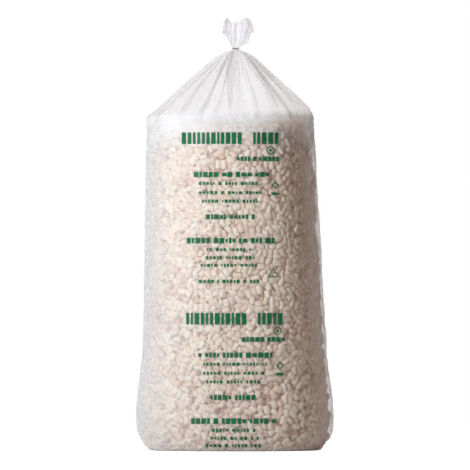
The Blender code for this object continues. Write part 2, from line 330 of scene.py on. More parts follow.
def foam_scatter_tree(foam):
    """Places one foam form at each point, turned to its axis and rolled at random, with its own tint."""
    tree = bpy.data.node_groups.new("Scatter foam pieces", "GeometryNodeTree")
    face = tree.interface
    face.new_socket("Geometry", in_out="INPUT", socket_type="NodeSocketGeometry")
    for name, kind, default in (
        ("Thickness", "NodeSocketFloat", 2.20 * PIECE_R),
        ("Length", "NodeSocketFloat", 1.06 * PIECE_L),
        ("Size spread", "NodeSocketFloat", 0.08),
        ("Seed", "NodeSocketInt", 3),
    ):
        face.new_socket(name, in_out="INPUT", socket_type=kind).default_value = default
    face.new_socket("Geometry", in_out="OUTPUT", socket_type="NodeSocketGeometry")
    node = node_adder(tree)
    given = node("NodeGroupInput").outputs

    axis = node("GeometryNodeInputNamedAttribute", {"Name": "axis"}, data_type="FLOAT_VECTOR")
    align = node("FunctionNodeAlignRotationToVector", {"Vector": axis.outputs["Attribute"]}, axis="Z")
    roll = node("FunctionNodeRandomValue", {3: 2 * math.pi, "Seed": given["Seed"]}, data_type="FLOAT")
    turn = node("FunctionNodeAxisAngleToRotation", {"Axis": (0, 0, 1), "Angle": roll.outputs[1]})
    both = {"Rotation": align.outputs["Rotation"], "Rotate By": turn.outputs["Rotation"]}
    rotate = node("FunctionNodeRotateRotation", both, rotation_space="LOCAL")

    low = reckon(node, "SUBTRACT", 1, given["Size spread"])
    high = reckon(node, "ADD", 1, given["Size spread"])
    other_seed = reckon(node, "ADD", given["Seed"], 7)
    girth = node("FunctionNodeRandomValue", {2: low, 3: high, "Seed": given["Seed"]}, data_type="FLOAT")
    stretch = node("FunctionNodeRandomValue", {2: low, 3: high, "Seed": other_seed}, data_type="FLOAT")
    thick = reckon(node, "MULTIPLY", girth.outputs[1], given["Thickness"])
    long = reckon(node, "MULTIPLY", stretch.outputs[1], given["Length"])
    size = node("ShaderNodeCombineXYZ", {"X": thick, "Y": thick, "Z": long})

    cloud = node("GeometryNodeMeshToPoints", {"Mesh": given["Geometry"]})
    form = node("GeometryNodeInputNamedAttribute", {"Name": "form"}, data_type="INT")
    whole_set = {"Collection": shapes, "Separate Children": True, "Reset Children": True}
    put = node(
        "GeometryNodeInstanceOnPoints",
        {
            "Points": cloud.outputs["Points"],
            "Instance": node("GeometryNodeCollectionInfo", whole_set).outputs["Instances"],
            "Pick Instance": True,
            "Instance Index": form.outputs["Attribute"],
            "Rotation": rotate.outputs["Rotation"],
            "Scale": size.outputs["Vector"],
        },
    )
    tint = node("FunctionNodeRandomValue", data_type="FLOAT").outputs[1]
    stored = {"Geometry": put.outputs["Instances"], "Name": "tint", "Value": tint}
    tinted = node("GeometryNodeStoreNamedAttribute", stored, data_type="FLOAT", domain="INSTANCE")
    real = node("GeometryNodeRealizeInstances", {"Geometry": tinted.outputs["Geometry"]})
    painted = node("GeometryNodeSetMaterial", {"Geometry": real.outputs["Geometry"], "Material": foam})
    node("NodeGroupOutput", {"Geometry": painted.outputs["Geometry"]})
    return tree


def material(name):
    """A new node material: its Principled shader, and the helpers that add and join its nodes."""
    made = bpy.data.materials.new(name)
    made.use_nodes = True
    tree = made.node_tree
    return made, tree.nodes["Principled BSDF"], node_adder(tree), tree.links.new


foam_material, shader, node, link = material("starch foam")
place = node("ShaderNodeTexCoord").outputs["Object"]
tint = node("ShaderNodeAttribute", attribute_name="tint").outputs["Fac"]
# Painted shade: the depth attribute darkens pieces that lie deeper in the heap towards a reddish brown, which
# stands in for the shade between them.
shade = node("ShaderNodeAttribute", attribute_name="depth").outputs["Fac"]
colours = node("ShaderNodeValToRGB", {"Fac": tint})
stops = colours.color_ramp.elements
stops[0].position, stops[0].color = 0.0, (0.80, 0.61, 0.47, 1)
stops[1].position, stops[1].color = 1.0, (0.90, 0.79, 0.68, 1)
for position, colour in ((0.35, (0.86, 0.71, 0.58, 1)), (0.7, (0.84, 0.73, 0.57, 1))):
    stop = stops.new(position)
    stop.color = colour
cells = node("ShaderNodeTexNoise", {"Vector": place, "Scale": 900.0, "Detail": 3.0, "Roughness": 0.6})
pits = node("ShaderNodeTexVoronoi", {"Vector": place, "Scale": 420.0})
blotch = node("ShaderNodeTexNoise", {"Vector": place, "Scale": 60.0, "Detail": 2.0})
mottle = graded(node, blotch.outputs["Fac"], 0, 1, 0.88, 1.06)
toned = node("ShaderNodeHueSaturation", {"Color": colours.outputs["Color"], "Value": mottle})
painted_shade_brown = (0.58, 0.25, 0.13, 1)
deep = node("ShaderNodeMix", {0: shade, 6: toned.outputs["Color"], 7: painted_shade_brown}, data_type="RGBA")
link(deep.outputs[2], shader.inputs["Base Color"])
link(graded(node, cells.outputs["Fac"], 0, 1, 0.72, 0.92), shader.inputs["Roughness"])
shader.inputs["Specular IOR Level"].default_value = 0.10
shader.inputs["Subsurface Weight"].default_value = 0.10
shader.inputs["Subsurface Radius"].default_value = (1.0, 0.42, 0.25)
shader.inputs["Subsurface Scale"].default_value = 0.006
height = reckon(node, "ADD", cells.outputs["Fac"], reckon(node, "MULTIPLY", pits.outputs["Distance"], 0.5))
bump = node("ShaderNodeBump", {"Height": height, "Strength": 0.35, "Distance": 0.0008})
link(bump.outputs["Normal"], shader.inputs["Normal"])


def in_film(points):
    """Each point's distance inside the film, creases included, and the horizontal way out."""
    wide, deep, lean = outline(points[:, 2])
    aside = points[:, 0] - lean
    slack = CREASE * ease(points[:, 2] / 0.05) * crease_share(aside, points[:, 1], wide, deep)
    moved = points.copy()
    moved[:, 0] -= np.sign(aside) * slack
    return wall_depth(moved)


def foam_pieces(name, chosen, tree, seed):
    """The chosen pieces as one plain mesh, made by the scatter tree and pressed flat against the film.

    The points that carry the film, at the pieces' corners and along their edges, are kept in touching.
    """
    cloud = new_object(name + "_places", places[chosen], [])
    mesh = cloud.data
    mesh.attributes.new("axis", "FLOAT_VECTOR", "POINT").data.foreach_set("vector", axes[chosen].ravel())
    inner = depth_in[chosen]
    pick = np.where(inner > 0.027, 4, forms_of[chosen]).astype(np.int32)
    mesh.attributes.new("form", "INT", "POINT").data.foreach_set("value", pick)
    # Painted shade, stored as depth: the deeper a piece lies, the more its colour is darkened towards brown.
    painted_depth_shade = np.clip((inner - 0.018) / 0.032, 0, 0.85)
    mesh.attributes.new("depth", "FLOAT", "POINT").data.foreach_set("value", painted_depth_shade)
    scatter = cloud.modifiers.new("scatter", "NODES")
    scatter.node_group = tree
    sockets = {item.name: item.identifier for item in tree.interface.items_tree if item.in_out == "INPUT"}
    scatter[sockets["Seed"]] = seed
    graph = bpy.context.evaluated_depsgraph_get()
    grown = cloud.evaluated_get(graph)
    baked = bpy.data.meshes.new_from_object(grown, preserve_all_data_layers=True, depsgraph=graph)
    bpy.data.objects.remove(cloud)
    baked.name = name
    points = np.empty(len(baked.vertices) * 3)
    baked.vertices.foreach_get("co", points)
    points = points.reshape(-1, 3)
    inside, outward = in_film(points)
    points[:, :2] -= outward * np.clip(0.0026 - inside, 0, None)[:, None]
    points[:, 2] = np.maximum(points[:, 2], 0.0012)
    baked.vertices.foreach_set("co", points.ravel())
    baked.update()
    ridges = np.empty(len(baked.edges) * 2, np.int32)
    baked.edges.foreach_get("vertices", ridges)
    start, end = points[ridges[::2]], points[ridges[1::2]]
    long = np.linalg.norm(end - start, axis=1) > 0.012
    between = [start[long] + (end[long] - start[long]) * share for share in (0.2, 0.4, 0.6, 0.8)]
    held_up = np.concatenate([points, *between])
    touching.append(held_up[in_film(held_up)[0] < 0.0095])
    heap = bpy.data.objects.new(name, baked)
    bpy.context.scene.collection.objects.link(heap)
    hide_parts("peanut_heap")
    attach(heap, "root")
    return heap


touching = []
forms_of = chance.choice(4, len(places), p=[0.40, 0.20, 0.25, 0.15])
tree = foam_scatter_tree(foam_material)
on_top = top_in < np.minimum(wall_in, SHELL)
facing = np.floor(((np.degrees(np.arctan2(places[:, 1], places[:, 0])) + 45) % 360) / 90).astype(int)
upper = places[:, 2] > 0.7
for index, side in enumerate(("right", "back", "left", "front")):
    foam_pieces(f"peanuts_{side}_low", (facing == index) & ~on_top & ~upper, tree, 20 + index)
    foam_pieces(f"peanuts_{side}_high", (facing == index) & ~on_top & upper, tree, 30 + index)
foam_pieces("peanuts_top", on_top, tree, 40)

# Heart of the heap: the starch foam behind the pieces that can be seen, lying in their shade. It is made as
# one lumpy mass that fills the sack inside them, coloured dark brown as painted shade, so that the gaps
# between them end in shade.


def grid_faces(rows, columns, closed=True):
    """Quads of a grid of points, row by row, its columns joined round when closed."""
    across = np.arange(columns if closed else columns - 1)
    row, column = np.meshgrid(np.arange(rows - 1), across, indexing="ij")
    low, high, after = row * columns, (row + 1) * columns, (column + 1) % columns
    return np.stack([low + column, low + after, high + after, high + column], axis=-1).reshape(-1, 4)


rows, columns = 60, 96
angle = np.linspace(0, 2 * math.pi, columns, endpoint=False)
points = []
for row in range(rows):
    z = 0.03 + (HEAP_Z - SHELL - 0.03) * row / (rows - 1)
    wide, deep, lean = outline(z)
    inset = SHELL + 0.004 + 0.004 * np.sin(31 * angle + 2.1 * row) * np.cos(1.7 * row + 5 * angle)
    c, s = np.cos(angle), np.sin(angle)
    x = (wide - inset) * np.sign(c) * np.abs(c) ** (2 / SQUARENESS) + lean
    y = (deep - inset) * np.sign(s) * np.abs(s) ** (2 / SQUARENESS)
    points.append(np.stack([x, y, np.full(columns, z)], axis=-1))
points = np.concatenate(points)
faces = grid_faces(rows, columns).tolist()
faces += [list(range(columns))[::-1], list(range((rows - 1) * columns, rows * columns))]
heart = new_object("peanuts_heart", points, faces, smooth=False)
heart_material, shader, node, link = material("foam in painted shade")
place = node("ShaderNodeTexCoord").outputs["Object"]
lumps = node("ShaderNodeTexVoronoi", {"Vector": place, "Scale": 38.0})
# Painted shade: two dark browns, darker towards the edges of the lumps.
ramp = node("ShaderNodeValToRGB", {"Fac": lumps.outputs["Distance"]})
ramp.color_ramp.elements[0].color = (0.60, 0.36, 0.24, 1)
ramp.color_ramp.elements[1].color = (0.30, 0.14, 0.08, 1)
link(ramp.outputs["Color"], shader.inputs["Base Color"])
shader.inputs["Roughness"].default_value = 0.95
heart.data.materials.append(heart_material)
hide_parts("peanut_heap")
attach(heart, "root")

# The film: one lay-flat tube of slightly milky polyethylene, about 0.08 mm thick, welded across the
# bottom and gathered at the top. One sheet of quads: it hangs on the outer peanuts, stands off them along
# its two side creases, and is pleated over itself towards the tie, where its columns are twice as fine.

SAG = 0.0085
GIRTH = 2.36
COLUMNS = 320
FINE = 2 * COLUMNS
turn = np.arange(COLUMNS) / COLUMNS
fine_turn = np.arange(FINE) / FINE
rings = []


def waves(phase, seed, octaves=3, rough=0.55):
    """Smooth noise from -1 to 1 that repeats every turn of phase (0 to 1), for irregular folds and edges."""
    chance = np.random.default_rng(seed)
    total = np.zeros_like(np.asarray(phase, float))
    size = 0.0
    for octave in range(octaves):
        for _ in range(3):
            count = chance.integers(2 ** (octave + 1), 2 ** (octave + 2) + 2)
            strength = rough**octave * chance.uniform(0.5, 1)
            total = total + strength * np.sin(2 * math.pi * (count * phase + chance.random()))
            size += strength
    return total / size * 1.6


# Bottom: the two layers meet in the weld, a straight line under the middle of the fill.
foot_x, foot_y = ring_points(base_curve(0.350, 0.300, SQUARENESS), turn, 0)
for share in (0, 0.4, 0.8):
    rings.append(np.stack([foot_x * (0.857 + 0.143 * share), foot_y * share, np.zeros(COLUMNS)], axis=-1))
first_body = len(rings)

# Body: foot, belly and wall, up to the crown.
foot_rows = FOOT_Z * (1 - np.cos(np.linspace(0, math.pi / 2, 15)[:-1]))
row_z = np.concatenate([foot_rows, np.linspace(FOOT_Z, CROWN_Z, 131)])
up = row_z / 1.7
right_crease = np.interp(row_z, (0, 0.012, 0.030, 0.046, CROWN_Z), (0.006, 0.006, 0.002, 0.026, 0.022))
right_crease *= 1 + 0.14 * waves(up, 21, 5, 0.8)
left_crease = np.interp(row_z, (0, 0.03, 0.075, CROWN_Z), (0, 0.008, 0.024, 0.024))
left_crease *= 1 + 0.10 * waves(up, 22, 5, 0.8)
tables = []
for z, right, left in zip(row_z, right_crease, left_crease):
    wide, deep, lean = outline(z)
    curve = base_curve(wide, deep, SQUARENESS, right, left)
    x, y = ring_points(curve, turn, 0)
    rings.append(np.stack([x + lean, y, np.full(COLUMNS, z)], axis=-1))
    tables.append(curve[2])
tables = np.array(tables)
body = np.array(rings[first_body:])

# It lies on the outer peanuts and spans the gaps between them, as a taut sheet does.
held_points = np.concatenate(touching)
held_points = held_points[held_points[:, 2] < CROWN_Z - 0.012]
inside, _ = in_film(held_points)
wide, deep, lean = outline(held_points[:, 2])
x, y = held_points[:, 0] - lean, held_points[:, 1]
front_way = np.sign(y) * np.abs(y / deep) ** (SQUARENESS / 2)
side_way = np.sign(x) * np.abs(x / wide) ** (SQUARENESS / 2)
angle = np.mod(np.arctan2(front_way, side_way), 2 * math.pi)
slot = np.round(angle / (2 * math.pi) * (len(side_angle) - 1)).astype(int)
row = np.clip(np.searchsorted(row_z, held_points[:, 2], "right") - 1, 0, len(row_z) - 2)
column = np.floor(tables[row, slot] * COLUMNS).astype(int)
limit = np.full((len(row_z), COLUMNS), SAG)
for up_row in (0, 1):
    for next_column in (0, 1):
        np.minimum.at(limit, (row + up_row, (column + next_column) % COLUMNS), inside - 0.0010)
to_crease = np.minimum(np.abs(turn - 0.5), np.minimum(turn, 1 - turn))
near_crown = ease((row_z - 1.33) / 0.05)
held = ease(to_crease / 0.04)[None, :] * ease(row_z / 0.03)[:, None] * (1 - near_crown)[:, None]
limit = np.clip(limit, 0.0002, SAG)
dip = limit * held
for _ in range(6):
    wider = (np.roll(dip, 1, 1) + np.roll(dip, -1, 1) + 2 * dip) / 4
    wider = (np.vstack([wider[:1], wider[:-1]]) + np.vstack([wider[1:], wider[-1:]]) + 2 * wider) / 4
    dip = np.minimum(wider, limit)

# Where it stands off them along the creases it is rumpled across, in ripples a few centimetres long.
ripple = np.array([waves(up, 50 + k, 4, 0.95) for k in range(8)])
place = turn * 40
low = np.floor(place).astype(int)
ripple = ripple[low % 8].T * (1 - (place - low)) + ripple[(low + 1) % 8].T * (place - low)
loose = np.exp(-((to_crease / 0.065) ** 2))[None, :] * ease(row_z / 0.08)[:, None]
off_crease = (1 - np.exp(-((to_crease / 0.006) ** 2)))[None, :]
dip = np.minimum(dip + 0.0065 * ripple * loose * off_crease, limit)

around = np.roll(body, -1, 1) - np.roll(body, 1, 1)
size = np.hypot(around[..., 0], around[..., 1])
normal = np.stack([around[..., 1] / size, -around[..., 0] / size, np.zeros_like(size)], axis=-1)
body = body - normal * dip[..., None]
rings[first_body:] = list(body)

# Cone: from the crown to the tie. The slack of its shrinking girth is laid over in 27 flat pleats of
# uneven width, three layers deep, that widen towards the tie.
PLEATS = 27
NECK_Z = 1.686
NECK_X = 0.005
NECK_R = 0.0125
TIE_HALF = 0.005
chance = np.random.default_rng(19)
borders = np.cumsum(chance.uniform(0.5, 1.5, PLEATS))
borders = borders / borders[-1]
lap_share = chance.uniform(0.25, 1.9, PLEATS)
side_gap = np.minimum(np.abs(borders - 0.5), np.minimum(borders, 1 - borders))
lap_share *= 1 - 0.92 * np.exp(-((side_gap / 0.035) ** 2))
streak_share = np.clip(chance.uniform(-0.5, 1.0, PLEATS), 0, 1)
lap_start = chance.uniform(-0.25, 0.30, PLEATS)
lap_side = np.where(chance.random(PLEATS) < 0.72, 1, -1)
sway = chance.uniform(-1, 1, PLEATS)
swell_share = chance.uniform(-0.6, 1.0, PLEATS)


def streaks(share):
    """Crease lines with painted shade that run down from the tie beside the pleats, at these shares of the
    girth.
    """
    apart = np.abs(np.mod(share[:, None] - borders[None, :] + 0.008 + 0.5, 1) - 0.5)
    return (np.exp(-((apart / 0.0055) ** 2)) * streak_share).sum(axis=1)


def softened(values, per_turn):
    """Each value averaged with its neighbours round a ring on which the values grow by per_turn."""
    wrapped = np.concatenate([values[-2:] - per_turn, values, values[:2] + per_turn])
    return (wrapped[:-4] + 2 * wrapped[1:-3] + 3 * wrapped[2:-2] + 2 * wrapped[3:-1] + wrapped[4:]) / 9


def pleated(length, rise, loose, lengths=None):
    """Shares of the ring and outward offsets of the fine columns, pleated to this length, rise up the cone.

    Each column keeps its place between the folds, as lengths gives it, so that the folds run smoothly.
    """
    slack = min(GIRTH / length, 3.0) - 1
    lap = lap_share * np.clip((rise - lap_start) / (1 - lap_start), 0.04, 1) ** 0.8
    lap = lap / lap.sum() * slack / 4
    at = borders + 0.010 * sway * math.sin(2.6 * rise)
    knots, depths, spans = [0.0], [0.0], [0.0]
    for index in range(PLEATS):
        before, after = at[index] + lap[index], at[index] - lap[index]
        layers = (0, -1) if lap_side[index] > 0 else (-1, 0)
        middle = (knots[-1] + before) / 2
        calm = 1 - 0.6 * math.exp(-((min(middle % 1, 1 - middle % 1) / 0.16) ** 2))
        full = math.sin(math.pi * min(rise, 1) ** 0.55)
        puff = 0.030 * calm * swell_share[index] * full * (before - knots[-1]) * PLEATS
        panel = (middle, puff - 0.5 * loose)
        for share, offset in (panel, (before, layers[0] * loose), (after, layers[1] * loose)):
            spans.append(spans[-1] + abs(share - knots[-1]) + 0.0002)
            knots.append(share)
            depths.append(offset)
    if lengths is None:
        return np.array(spans) / spans[-1]
    share = np.interp(fine_turn, lengths, knots)
    offset = np.interp(fine_turn, lengths, depths)
    for _ in range(2):
        share, offset = softened(share, 1), softened(offset, 0)
    return share, offset


neck_low, neck_high = NECK_Z - TIE_HALF, NECK_Z + TIE_HALF
crown_wide, crown_deep, crown_lean = outline(CROWN_Z)
crown = np.empty((FINE, 3))
crown[0::2] = rings[-1]
crown[1::2] = (rings[-1] + np.roll(rings[-1], -1, 0)) / 2
fine_rings = [crown]
cone_share = []
fold_places = pleated(GIRTH / 1.7, 0.5, 0)
CONE_ROWS = 42
for row in range(1, CONE_ROWS + 1):
    left = (1 - row / CONE_ROWS) ** 1.25
    swell = 0.90 * left + 0.10 * math.sqrt(min(left / 0.10, 1)) + 0.02 * math.sin(math.pi * left)
    z = CROWN_Z + (neck_low - CROWN_Z) * (1 - left)
    shoulder = 0.016 * float(ease((z - 1.40) / 0.03) * (1 - ease((z - 1.43) / 0.14)))
    wide = NECK_R + (crown_wide - NECK_R) * swell
    deep = NECK_R + (crown_deep - NECK_R) * swell
    crease = CREASE * swell**0.8
    curve = base_curve(wide, deep, 2 + (SQUARENESS - 2) * swell, crease + shoulder, crease)
    rise = 1 - left
    share, offset = pleated(curve[3], rise, min(0.0035 * ease(rise / 0.12), 0.25 * wide), fold_places)
    blend = float(ease(rise / 0.10))
    share = fine_turn + (share - fine_turn) * blend
    cone_share.append(share)
    x, y = ring_points(curve, share, offset)
    fine_rings.append(np.stack([x + crown_lean * swell + NECK_X * (1 - swell), y, np.full(FINE, z)], axis=-1))

# Neck under the wire, and the loose top above it: a ruffle of deep lobes that opens into two.
PETALS = 9
TOP_ROWS = 20
RIM_Z = 1.812
petal_angle = np.linspace(0, 2 * math.pi, 2881)
petal_turn = petal_angle / (2 * math.pi)
petal_phase = PETALS * petal_angle / 2 + 0.9 * waves(petal_turn, 33, 2) - 0.9 * waves(np.zeros(1), 33, 2)
petal_depth = 0.86 + 0.14 * waves(petal_turn, 34, 2)
petal_reach = 1 + 0.10 * waves(petal_turn, 35, 3)


def petal_ring(left, right, deep, pinch, z_of):
    """A ruffled ring, its columns spaced evenly along the rim and running straight down from it."""
    c, s = np.cos(petal_angle), np.sin(petal_angle)
    lobe = np.abs(np.sin(petal_phase)) ** 0.75

    def outline_of(left, right, deep, pinch):
        size = petal_reach * (1 - pinch * petal_depth * (1 - lobe))
        return (left + (right - left) * ease(0.5 + c)) * c * size, deep * s * size

    x, y = outline_of(0.053, 0.070, 0.085, 0.92)
    length = np.concatenate([[0], np.cumsum(np.hypot(np.diff(x), np.diff(y)))])
    at = np.interp(fine_turn * length[-1], length, petal_angle)
    x, y = outline_of(left, right, deep, pinch)
    x, y = np.interp(at, petal_angle, x), np.interp(at, petal_angle, y)
    return np.stack([x, y, z_of(x, y)], axis=-1)


tall = (1.691, 1.697, 1.705, 1.714, 1.739, 1.756, 1.781, 1.806, 1.820)
left_reach = (0.012, 0.016, 0.021, 0.026, 0.042, 0.058, 0.058, 0.053, 0.050)
right_reach = (0.016, 0.030, 0.048, 0.056, 0.062, 0.067, 0.079, 0.074, 0.068)


def rim_height(x, y):
    """Height of the loose rim above this place, lower towards the middle, the front and the back."""
    front = np.interp(
        x,
        (-0.058, -0.046, -0.030, -0.024, -0.014, -0.004, 0.012, 0.032, 0.052, 0.064, 0.078),
        (1.786, 1.800, 1.818, 1.812, 1.794, 1.800, 1.806, 1.812, 1.818, 1.812, 1.790),
    )
    return front - 0.010 * np.abs(y) / 0.085 - 0.35 * np.clip(0.035 - np.hypot(x - 0.01, y), 0, 1)


for z in (NECK_Z, neck_high):
    left, right = NECK_R - NECK_X, NECK_R + NECK_X
    fine_rings.append(petal_ring(left, right, NECK_R, 0.45, lambda x, y, z=z: np.full(FINE, z)))
for row in range(1, TOP_ROWS + 1):
    share_up = row / TOP_ROWS
    z = neck_high + (RIM_Z - neck_high) * share_up**1.1
    left, right = float(np.interp(z, tall, left_reach)), float(np.interp(z, tall, right_reach))
    deep = 0.013 + 0.072 * float(ease(share_up * 1.2))
    pinch = 0.40 + 0.52 * float(ease(share_up / 0.5))

    def height(x, y, share_up=share_up):
        return neck_high + (rim_height(x, y) - neck_high) * share_up**1.1

    fine_rings.append(petal_ring(left, right, deep, pinch, height))

# The crown is a soft bend over the heap's rim, and a sharp fold only where it meets the side creases.
stack = np.array([np.repeat(ring, 2, axis=0) for ring in rings[-9:]] + fine_rings[1:9])
stack[:9, 1::2] = (stack[:9, 1::2] + np.roll(stack[:9, 1::2], -1, axis=1)) / 2
fine_to_crease = np.minimum(np.abs(fine_turn - 0.5), np.minimum(fine_turn, 1 - fine_turn))
bend = np.clip(fine_to_crease / 0.05, 0, 1)[None, :, None]
for _ in range(24):
    middle = (stack[:-2] + stack[2:]) / 2
    stack[1:-1] += (middle - stack[1:-1]) * 0.5 * bend
rings[-9:] = list(stack[:9, ::2])
fine_rings[1:9] = list(stack[9:])

points = np.concatenate([np.concatenate(rings), np.concatenate(fine_rings[1:])])
faces = grid_faces(len(rings), COLUMNS).tolist()
last, first = (len(rings) - 1) * COLUMNS, len(rings) * COLUMNS
for column in range(COLUMNS):
    a, b = last + column, last + (column + 1) % COLUMNS
    c, d, e = first + 2 * column, first + 2 * column + 1, first + (2 * column + 2) % FINE
    faces += [(a, d, c), (a, b, d), (b, e, d)]
faces += (grid_faces(len(fine_rings) - 1, FINE) + first).tolist()
film = new_object("film", points, faces)


def side_rumple(at):
    """How crumpled the film is at this share of the girth: most along its two creases, more on the left."""
    right, left = np.minimum(at, 1 - at), np.abs(at - 0.5)
    fold = 0.42 * np.exp(-((right / 0.012) ** 2)) + 0.35 * np.exp(-((left / 0.020) ** 2))
    return fold + 1.45 * np.exp(-((left / 0.175) ** 2)) + 0.20 * np.exp(-((right / 0.08) ** 2))


CREASE_LINES_AND_SHADE = ((0.011, 0.014, 2.0), (0.021, 0.018, 1.0), (0.034, 0.020, 0.4))


def crease_lines_and_shade():
    """Crease lines with painted shade that wander up the wall beside the two side creases, row by row of the
    body.
    """
    lines = np.zeros((len(row_z), COLUMNS))
    for side, way, seed in ((0.0, 1, 61), (0.0, -1, 64), (0.5, 1, 67), (0.5, -1, 70)):
        apart = way * ((turn - side + 0.5) % 1 - 0.5)
        for k, (base, spread, strength) in enumerate(CREASE_LINES_AND_SHADE):
            line = base + spread * np.clip(waves(up, seed + k, 5, 0.85), -0.8, 0.8)
            shown = np.clip(0.5 + waves(up, seed + 20 + k, 5, 0.9), 0, 1)
            lines += strength * shown[:, None] * np.exp(-(((apart - line[:, None]) / 0.0026) ** 2))
    return lines


# How crumpled the film is at each point: it makes the film more opaque and bumpier, and greys its colour as
# painted shade.
rumple_and_shade = [side_rumple(turn)] * first_body
rumple_and_shade += list(side_rumple(turn) + streaks(turn) * ease((row_z - 1.37) / 0.028)[:, None] + crease_lines_and_shade())
for row in range(1, len(fine_rings)):
    below_tie = cone_share[row - 1] if row <= CONE_ROWS else fine_turn
    rumple_and_shade.append(0.5 * side_rumple(fine_turn) + streaks(below_tie))
film.data.attributes.new("rumple_and_shade", "FLOAT", "POINT").data.foreach_set("value", np.concatenate(rumple_and_shade))
film_material, shader, node, link = material("milky film")
place = node("ShaderNodeTexCoord").outputs["Object"]
facing = node("ShaderNodeLayerWeight", {"Blend": 0.5}).outputs["Facing"]
steep = reckon(node, "POWER", facing, 2.2)
cloud = node("ShaderNodeTexNoise", {"Vector": place, "Scale": 7.0, "Detail": 4.0})
haze = graded(node, cloud.outputs["Fac"], 0.3, 0.7, 0.10, 0.20)
high = node("ShaderNodeSeparateXYZ", {"Vector": place}).outputs["Z"]
band = graded(node, high, 1.225, 1.375, 0, 0.46, interpolation_type="SMOOTHSTEP")
fade = graded(node, high, 1.395, 1.430, 0, 0.42, interpolation_type="SMOOTHSTEP")
milk = reckon(node, "ADD", haze, reckon(node, "SUBTRACT", band, fade))
rumple_veil_and_shade = node("ShaderNodeAttribute", attribute_name="rumple_and_shade").outputs["Fac"]
across = node("ShaderNodeMapping", {"Vector": place, "Scale": (14.0, 14.0, 46.0)}).outputs["Vector"]
crinkle = node("ShaderNodeTexNoise", {"Vector": across, "Scale": 1.0, "Detail": 2.0, "Distortion": 1.4})
ridge = graded(node, crinkle.outputs["Fac"], 0.50, 0.72, 0, 1)
veiled = reckon(node, "MULTIPLY_ADD", rumple_veil_and_shade, reckon(node, "MULTIPLY_ADD", ridge, 0.20, 0.29), milk)
laid = reckon(node, "MULTIPLY_ADD", steep, 0.34, veiled)
knot = graded(node, high, 1.690, 1.725, 0, 1)
knotted = reckon(node, "MULTIPLY_ADD", steep, 0.08, 0.40)
thick = node("ShaderNodeMix", {0: knot, 2: laid, 3: knotted}, clamp_factor=True).outputs[0]
shadow = node("ShaderNodeLightPath").outputs["Is Shadow Ray"]
passed = reckon(node, "MULTIPLY_ADD", shadow, reckon(node, "MULTIPLY_ADD", knot, -0.35, -0.50), 1.0)
link(reckon(node, "MULTIPLY", thick, passed), shader.inputs["Alpha"])
# Painted shade: the more crumpled the film, the greyer its colour, which stands in for the shade its folds
# cast on themselves.
smooth, shaded_film_colour = (0.88, 0.87, 0.90, 1), (0.81, 0.80, 0.81, 1)
painted_film_shade = node("ShaderNodeMix", {0: rumple_veil_and_shade, 6: smooth, 7: shaded_film_colour}, data_type="RGBA", clamp_factor=True)
link(painted_film_shade.outputs[2], shader.inputs["Base Color"])
shader.inputs["Roughness"].default_value = 0.34
shader.inputs["IOR"].default_value = 1.35
shader.inputs["Specular IOR Level"].default_value = 0.3
shader.inputs["Sheen Weight"].default_value = 0.2
shader.inputs["Sheen Roughness"].default_value = 0.4
crumple = node("ShaderNodeTexVoronoi", {"Vector": place, "Scale": 34.0}, feature="SMOOTH_F1")
dents = reckon(node, "ADD", ridge, crumple.outputs["Distance"])
height = reckon(node, "MULTIPLY_ADD", rumple_veil_and_shade, 1.1, dents)
below_crown = graded(node, high, 1.37, 1.42, 0.65, 0.10)
bump = node("ShaderNodeBump", {"Height": height, "Strength": below_crown, "Distance": 0.0045})
link(bump.outputs["Normal"], shader.inputs["Normal"])
film.data.materials.append(film_material)
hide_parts("film_sack")
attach(film, "root")

# Ink on the front: plain marks in green printing ink, in rows of bars, rings with a dot, diamonds and a
# triangle. Each is a patch of small quads that follows the film, 0.6 mm in front of it.

PIXEL = 0.0042
MIDDLE_PX = 234.5
FLOOR_PX = 450
INK_GAP = 0.0006
body = np.array(rings[first_body:])
body_x, body_y = body[..., 0], body[..., 1]
front = np.arange(int(COLUMNS * 0.53), int(COLUMNS * 0.97))


def on_front(x, z):
    """The point on the film's front at this place across and up, just outside it."""
    row = np.interp(z, row_z, np.arange(len(row_z)))
    low = int(min(row, len(row_z) - 2))
    part = row - low
    xs = body_x[low, front] * (1 - part) + body_x[low + 1, front] * part
    ys = body_y[low, front] * (1 - part) + body_y[low + 1, front] * part
    return x, float(np.interp(x, xs, ys)) - INK_GAP, z


ink_points, ink_faces = [], []


def patch(corner_grid):
    """Adds a grid of (x, z) places as quads on the film."""
    rows, columns = len(corner_grid), len(corner_grid[0])
    start = len(ink_points)
    for line in corner_grid:
        for x, z in line:
            ink_points.append(on_front(x, z))
    for face in grid_faces(rows, columns, closed=False):
        ink_faces.append([start + int(i) for i in face])


def from_photo(px, py):
    """Metres across and up, for a place in the photograph's frame."""
    return (px - MIDDLE_PX) * PIXEL, (FLOOR_PX - py) * PIXEL


def bar(px0, px1, py, tall):
    """A plain bar from px0 to px1 across, its middle at py."""
    (x0, z0), (x1, z1) = from_photo(px0, py + tall / 2), from_photo(px1, py - tall / 2)
    columns, rows = max(2, int((x1 - x0) / 0.003) + 2), max(2, int((z1 - z0) / 0.004) + 2)
    patch([[(x, z) for x in np.linspace(x0, x1, columns)] for z in np.linspace(z0, z1, rows)])


def loop_mark(px, py, corners, outer, inner, start=90.0):
    """An outlined shape with this many corners; many corners make a ring."""
    x, z = from_photo(px, py)
    angles = [math.radians(start + 360 * i / corners) for i in range(corners + 1)]
    rims = (outer * PIXEL, inner * PIXEL)
    patch([[(x + math.cos(a) * r, z + math.sin(a) * r) for a in angles] for r in rims])


def bar_row(px0, px1, py, tall, length, gap, chance, even=False):
    """A row of plain bars, uneven in width."""
    at = px0
    run = 0
    while at < px1 - 0.6:
        wide = min(length * chance.uniform(0.6, 1.5), px1 - at)
        bar(at, at + wide, py, tall * (1 if even or chance.random() < 0.75 else 0.72))
        run += 1
        pause = gap * (3.2 if not even and (run % 5 == 0 or chance.random() < 0.08) else 1)
        at += wide + pause


